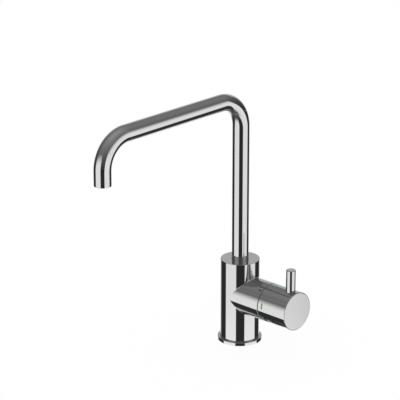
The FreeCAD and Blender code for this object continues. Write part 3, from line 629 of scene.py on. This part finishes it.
def threaded_stud(steel):
    """Stud with a right-hand thread cut all along it."""
    bm = bmesh.new()
    turns = math.ceil((stud_high.z - stud_low.z) / thread_pitch) + 2 * SPARE_TURNS
    start = Vector((stud_x, 0, stud_low.z - SPARE_TURNS * thread_pitch))
    root = stud_radius - thread_depth
    verts = [bm.verts.new(start + ACROSS * (root + thread_depth * out) + UP * thread_pitch * along)
             for out, along in THREAD_TOOTH]
    edges = [bm.edges.new(pair) for pair in zip(verts, verts[1:])]
    sweep(bm, verts + edges, start, UP, math.tau * turns, THREAD_STEPS * turns,
          rise=UP * thread_pitch / THREAD_STEPS)
    bmesh.ops.remove_doubles(bm, verts=bm.verts, dist=SAME_PLACE)
    for height, facing in ((stud_low.z, -UP), (stud_high.z, UP)):
        bmesh.ops.bisect_plane(bm, geom=[*bm.verts, *bm.edges, *bm.faces], plane_co=UP * height,
                               plane_no=facing, clear_outer=True)
    bmesh.ops.holes_fill(bm, edges=[edge for edge in bm.edges if edge.is_boundary], sides=0)
    bmesh.ops.recalc_face_normals(bm, faces=bm.faces)
    made = piece("threaded_stud", bm)
    polish(made, [], [])
    fit(made, "body", "fixing_stud", steel)


dress_nodes()
chrome = polished_chrome()
body_shell(chrome)
base_ring(chrome)
spout_pipe(chrome)
knob_shell(chrome)
lever(chrome)
threaded_stud(zinc_steel("zinc_steel_thread", ROUND_GRAIN))


# Stage, light and camera

CAMERA_AZIMUTH = math.radians(43.489)
CAMERA_ELEVATION = math.radians(19.740)
CAMERA_DISTANCE = 2.4638
CAMERA_LENS_MM = 200.17
CAMERA_SENSOR_MM = 36
CAMERA_SIGHT = 50
CAMERA_AIM_HEIGHT = 0.150
CAMERA_AIM_RIGHT = -0.04485
CAMERA_AIM_UP = 0.01406


def add_camera():
    flat = Vector((math.sin(CAMERA_AZIMUTH), -math.cos(CAMERA_AZIMUTH), 0))
    back = flat * math.cos(CAMERA_ELEVATION) + UP * math.sin(CAMERA_ELEVATION)
    right = UP.cross(back).normalized()
    above = back.cross(right)
    aim = UP * CAMERA_AIM_HEIGHT + right * CAMERA_AIM_RIGHT + above * CAMERA_AIM_UP
    data = bpy.data.cameras.new("camera")
    data.sensor_width = CAMERA_SENSOR_MM
    data.lens = CAMERA_LENS_MM
    data.clip_end = CAMERA_SIGHT
    camera = bpy.data.objects.new("camera", data)
    bpy.context.scene.collection.objects.link(camera)
    turned = Matrix((right, above, back)).transposed().to_4x4()
    camera.matrix_world = Matrix.Translation(aim + back * CAMERA_DISTANCE) @ turned
    bpy.context.scene.camera = camera


# Studio that the chrome mirrors, as levels by elevation. Bearings, counted from the camera, say what stands
# where, in degrees
DARK_WALL = ((-75, 0.100), (-50, 0.036), (-12, 0.029), (0, 0.064), (15, 0.104), (30, 0.160), (45, 0.214),
             (60, 0.265), (80, 0.345))
LIGHT_PANEL = ((-75, 0.10), (-65, 0.18), (-60, 0.38), (-55, 0.64), (-50, 0.87), (-40, 1.0), (-24.8, 1.0),
               (-23.8, 1.16), (-23.3, 1.10), (-22.9, 1.035), (-22.3, 1.01), (-21.8, 1.0), (4, 1.0), (10, 0.88),
               (15, 0.73), (20, 0.54), (25, 0.38), (31, 0.175), (45, 0.214), (60, 0.265), (80, 0.345))
BACKDROP = ((-75, 0.10), (-62, 0.18), (-55, 0.50), (-45, 0.86), (-15, 0.86), (-8, 0.72), (0, 0.60), (8, 0.50),
            (14, 0.49), (22.5, 0.485), (25, 0.28), (28, 0.19), (45, 0.214), (60, 0.265), (80, 0.345))
PANEL_BEARINGS = ((-92.6, 0), (-91.6, 1), (-24.5, 1), (-23.5, 0), (26.1, 0), (27.1, 1), (94.9, 1),
                  (95.7, 0.85), (96.9, 0.80), (97.4, 0))
BACKDROP_BEARINGS = ((-157, 1), (-151, 0.3), (-143, 0.3), (-139, 0), (144, 0), (149, 1))
PANEL_LEVEL = 1.27
PANEL_SKEW = math.radians(6)
PANEL_MIDDLE = math.radians(56)
# The panels' upper levels come lower away from each panel's middle
PANEL_DROOP = math.degrees(0.0078)
PANEL_DROOP_FROM = math.radians(-20)


def add_world():
    world = bpy.data.worlds.new("studio")
    world.use_nodes = True
    bpy.context.scene.world = world
    tree = world.node_tree
    facing = add(tree, "ShaderNodeMapping", vector_type="POINT")
    facing.inputs["Rotation"].default_value = (0, 0, math.pi / 2 - CAMERA_AZIMUTH)
    tree.links.new(add(tree, "ShaderNodeTexCoord").outputs["Generated"], facing.inputs["Vector"])
    split = add(tree, "ShaderNodeSeparateXYZ")
    tree.links.new(facing.outputs["Vector"], split.inputs[0])
    bearing = calc(tree, "ARCTAN2", split.outputs["Y"], split.outputs["X"])
    elevation = calc(tree, "ARCSINE", split.outputs["Z"])
    off_axis = calc(tree, "ABSOLUTE", calc(tree, "SUBTRACT", bearing, PANEL_SKEW))
    off_middle = calc(tree, "SUBTRACT", off_axis, PANEL_MIDDLE)
    droop = calc(tree, "MULTIPLY", calc(tree, "POWER", off_middle, 2.0), PANEL_DROOP)
    drooping = calc(tree, "GREATER_THAN", elevation, PANEL_DROOP_FROM)
    panel_elevation = calc(tree, "MULTIPLY_ADD", droop, drooping, elevation)
    wall = levels(tree, elevation, -90, 90, DARK_WALL)
    panel = levels(tree, panel_elevation, -90, 90, LIGHT_PANEL)
    backdrop = levels(tree, elevation, -90, 90, BACKDROP)
    in_panel = levels(tree, bearing, -180, 180, PANEL_BEARINGS)
    in_backdrop = levels(tree, bearing, -180, 180, BACKDROP_BEARINGS)
    studio = blend(tree, in_backdrop, blend(tree, in_panel, wall, panel), backdrop)
    studio = calc(tree, "MULTIPLY", studio, PANEL_LEVEL)
    mirrored = add(tree, "ShaderNodeLightPath").outputs["Is Glossy Ray"]
    tree.links.new(blend(tree, mirrored, 1.0, studio), tree.nodes["Background"].inputs["Color"])


FLOOR_SIZE = 14.0
FLOOR_COLOUR = (0.97, 0.97, 0.97, 1)
FLOOR_GLOW = 0.94
FLOOR_DROP = 0.1 * MM


def add_floor():
    bm = bmesh.new()
    bmesh.ops.create_grid(bm, x_segments=1, y_segments=1, size=FLOOR_SIZE / 2,
                          matrix=Matrix.Translation((0, 0, -FLOOR_DROP)))
    floor = piece("floor", bm)
    floor.visible_glossy = False
    material = bpy.data.materials.new("white_floor")
    material.use_nodes = True
    tree = material.node_tree
    shader = tree.nodes["Principled BSDF"]
    shader.inputs["Base Color"].default_value = FLOOR_COLOUR
    shader.inputs["Roughness"].default_value = 1.0
    shader.inputs["Specular IOR Level"].default_value = 0.0
    glow = add(tree, "ShaderNodeEmission")
    mix = add(tree, "ShaderNodeMixShader")
    mix.inputs["Fac"].default_value = FLOOR_GLOW
    tree.links.new(shader.outputs[0], mix.inputs[1])
    tree.links.new(glow.outputs[0], mix.inputs[2])
    tree.links.new(mix.outputs[0], tree.nodes["Material Output"].inputs["Surface"])
    floor.data.materials.append(material)


add_camera()
add_world()
add_floor()
bpy.context.scene.view_settings.view_transform = "Standard"
